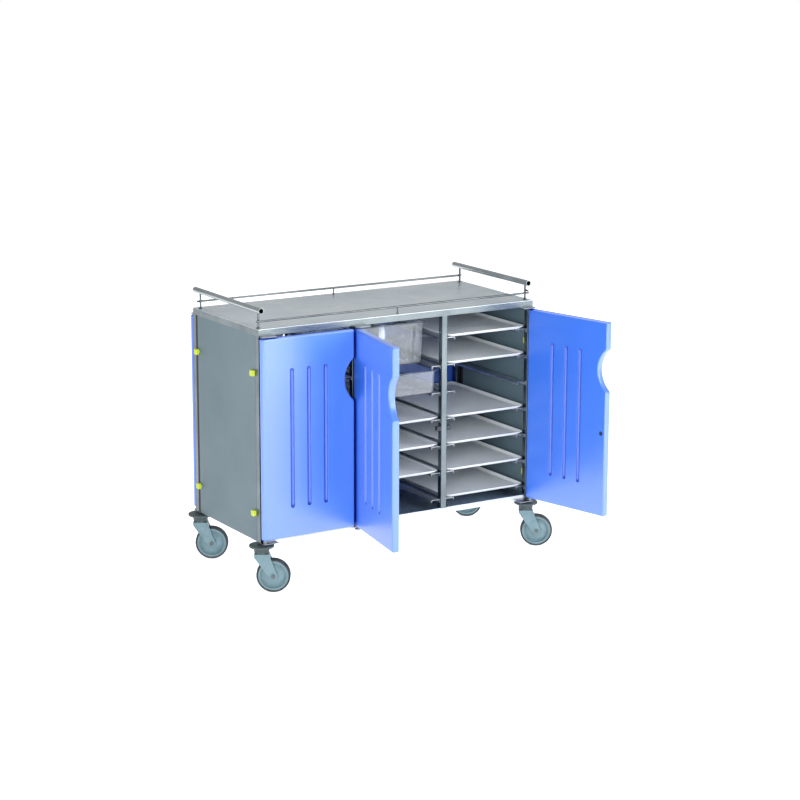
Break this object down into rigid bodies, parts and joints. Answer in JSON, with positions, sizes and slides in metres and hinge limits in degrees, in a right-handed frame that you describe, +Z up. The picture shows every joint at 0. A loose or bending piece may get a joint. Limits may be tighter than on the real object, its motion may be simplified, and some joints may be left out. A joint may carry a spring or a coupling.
{
  "type": "enclosed meal tray cart",
  "caption": "Enclosed tray cart with a flat worktop, push handles and thin gallery rails, bays of tray ledges behind hinged blue doors on both long sides, and swivel castors.",
  "frame": {"origin": "the middle of the cart's body at floor level", "axes": "+X to the right along the front, +Y from the front to the rear, +Z up"},
  "size_m": [1.3616, 0.9868, 1.091],
  "materials": {
    "stainless": "brushed stainless steel",
    "pivot_steel": "plain stainless steel",
    "side_panel": "satin grey",
    "floor_steel": "dull stainless sheet",
    "seal": "matt black",
    "clip": "moulded, yellow-green",
    "dark_metal": "dark, dull",
    "bumper": "matt dark grey",
    "castor_collar": "moulded, dark grey",
    "castor_grey": "moulded, grey-blue",
    "axle_steel": "zinc plated",
    "tyre": "matt black",
    "door": "moulded, blue, semi-gloss",
    "tray": "moulded, light grey",
    "clear_plastic": "clear, moulded"
  },
  "bodies": {
    "cart": {"top_rim": "stainless", "worktop": "stainless", "corner_posts": "stainless", "middle_posts": "stainless", "base_frame": "stainless", "base_panel": "floor_steel", "left_side_panel": "side_panel", "right_side_panel": "side_panel", "side_seals": "seal", "panel_clips": "clip", "left_bay_runners": "stainless", "middle_bay_runners": "stainless", "right_bay_runners": "stainless", "pivot_plates": "pivot_steel", "door_catches": "dark_metal", "left_handle": "stainless", "right_handle": "stainless", "gallery_rails": "stainless", "gallery_posts": "stainless", "castor_bumpers": "bumper", "castor_stems": "castor_collar"},
    "front_left_door": {"front_left_door": "door", "front_left_strike": "dark_metal"},
    "front_middle_door": {"front_middle_door": "door", "front_middle_strike": "dark_metal"},
    "front_right_door": {"front_right_door": "door", "front_right_strike": "dark_metal"},
    "rear_left_door": {"rear_left_door": "door", "rear_left_strike": "dark_metal"},
    "rear_middle_door": {"rear_middle_door": "door", "rear_middle_strike": "dark_metal"},
    "rear_right_door": {"rear_right_door": "door", "rear_right_strike": "dark_metal"},
    "front_left_castor": {"front_left_fork": "castor_grey", "front_left_axle": "axle_steel"},
    "front_left_wheel": {"front_left_hub": "castor_grey", "front_left_tyre": "tyre"},
    "front_right_castor": {"front_right_fork": "castor_grey", "front_right_axle": "axle_steel"},
    "front_right_wheel": {"front_right_hub": "castor_grey", "front_right_tyre": "tyre"},
    "rear_left_castor": {"rear_left_fork": "castor_grey", "rear_left_axle": "axle_steel"},
    "rear_left_wheel": {"rear_left_hub": "castor_grey", "rear_left_tyre": "tyre"},
    "rear_right_castor": {"rear_right_fork": "castor_grey", "rear_right_axle": "axle_steel"},
    "rear_right_wheel": {"rear_right_hub": "castor_grey", "rear_right_tyre": "tyre"},
    "middle_tray_4": {"middle_tray_4": "tray"},
    "middle_tray_5": {"middle_tray_5": "tray"},
    "middle_tray_6": {"middle_tray_6": "tray"},
    "right_tray_1": {"right_tray_1": "tray"},
    "right_tray_2": {"right_tray_2": "tray"},
    "right_tray_4": {"right_tray_4": "tray"},
    "right_tray_5": {"right_tray_5": "tray"},
    "right_tray_6": {"right_tray_6": "tray"},
    "right_tray_7": {"right_tray_7": "tray"},
    "deep_bin": {"deep_bin": "clear_plastic"},
    "shallow_bin": {"shallow_bin": "clear_plastic"}
  },
  "joints": [
    {"name": "front_left_door_hinge", "type": "hinge", "parent": "cart", "child": "front_left_door", "pos_m": [-0.6045, -0.285, 0.207], "axis": [0, 0, -1], "range_deg": [0, 180]},
    {"name": "front_middle_door_hinge", "type": "hinge", "parent": "cart", "child": "front_middle_door", "pos_m": [-0.2, -0.285, 0.207], "axis": [0, 0, -1], "range_deg": [-100, 12]},
    {"name": "front_right_door_hinge", "type": "hinge", "parent": "cart", "child": "front_right_door", "pos_m": [0.6045, -0.285, 0.207], "axis": [0, 0, 1], "range_deg": [-103, 77]},
    {"name": "rear_right_door_hinge", "type": "hinge", "parent": "cart", "child": "rear_right_door", "pos_m": [0.6045, 0.285, 0.207], "axis": [0, 0, -1], "range_deg": [0, 180]},
    {"name": "rear_middle_door_hinge", "type": "hinge", "parent": "cart", "child": "rear_middle_door", "pos_m": [0.2, 0.285, 0.207], "axis": [0, 0, -1], "range_deg": [0, 112]},
    {"name": "rear_left_door_hinge", "type": "hinge", "parent": "cart", "child": "rear_left_door", "pos_m": [-0.6045, 0.285, 0.207], "axis": [0, 0, 1], "range_deg": [0, 180]},
    {"name": "front_left_swivel", "type": "hinge", "parent": "cart", "child": "front_left_castor", "pos_m": [-0.606, -0.2575, 0.151], "axis": [0, 0, 1], "continuous": true},
    {"name": "front_left_roll", "type": "hinge", "parent": "front_left_castor", "child": "front_left_wheel", "pos_m": [-0.56852, -0.28055, 0.065], "axis": [0.524, 0.8517, 0], "continuous": true},
    {"name": "front_right_swivel", "type": "hinge", "parent": "cart", "child": "front_right_castor", "pos_m": [0.606, -0.2575, 0.151], "axis": [0, 0, 1], "continuous": true},
    {"name": "front_right_roll", "type": "hinge", "parent": "front_right_castor", "child": "front_right_wheel", "pos_m": [0.64348, -0.28055, 0.065], "axis": [0.524, 0.8517, 0], "continuous": true},
    {"name": "rear_left_swivel", "type": "hinge", "parent": "cart", "child": "rear_left_castor", "pos_m": [-0.606, 0.2575, 0.151], "axis": [0, 0, 1], "continuous": true},
    {"name": "rear_left_roll", "type": "hinge", "parent": "rear_left_castor", "child": "rear_left_wheel", "pos_m": [-0.56852, 0.23444, 0.065], "axis": [0.524, 0.8517, 0], "continuous": true},
    {"name": "rear_right_swivel", "type": "hinge", "parent": "cart", "child": "rear_right_castor", "pos_m": [0.606, 0.2575, 0.151], "axis": [0, 0, 1], "continuous": true},
    {"name": "rear_right_roll", "type": "hinge", "parent": "rear_right_castor", "child": "rear_right_wheel", "pos_m": [0.64348, 0.23444, 0.065], "axis": [0.524, 0.8517, 0], "continuous": true},
    {"name": "middle_tray_4_slide", "type": "slide", "parent": "cart", "child": "middle_tray_4", "axis": [0, -1, 0], "range_m": [0, 0.4]},
    {"name": "middle_tray_5_slide", "type": "slide", "parent": "cart", "child": "middle_tray_5", "axis": [0, -1, 0], "range_m": [0, 0.4]},
    {"name": "middle_tray_6_slide", "type": "slide", "parent": "cart", "child": "middle_tray_6", "axis": [0, -1, 0], "range_m": [0, 0.4]},
    {"name": "right_tray_1_slide", "type": "slide", "parent": "cart", "child": "right_tray_1", "axis": [0, -1, 0], "range_m": [0, 0.4]},
    {"name": "right_tray_2_slide", "type": "slide", "parent": "cart", "child": "right_tray_2", "axis": [0, -1, 0], "range_m": [0, 0.4]},
    {"name": "right_tray_4_slide", "type": "slide", "parent": "cart", "child": "right_tray_4", "axis": [0, -1, 0], "range_m": [0, 0.4]},
    {"name": "right_tray_5_slide", "type": "slide", "parent": "cart", "child": "right_tray_5", "axis": [0, -1, 0], "range_m": [0, 0.4]},
    {"name": "right_tray_6_slide", "type": "slide", "parent": "cart", "child": "right_tray_6", "axis": [0, -1, 0], "range_m": [0, 0.4]},
    {"name": "right_tray_7_slide", "type": "slide", "parent": "cart", "child": "right_tray_7", "axis": [0, -1, 0], "range_m": [0, 0.4]},
    {"name": "deep_bin_slide", "type": "slide", "parent": "cart", "child": "deep_bin", "axis": [0, -1, 0], "range_m": [0, 0.4]},
    {"name": "shallow_bin_slide", "type": "slide", "parent": "cart", "child": "shallow_bin", "axis": [0, -1, 0], "range_m": [0, 0.4]}
  ]
}
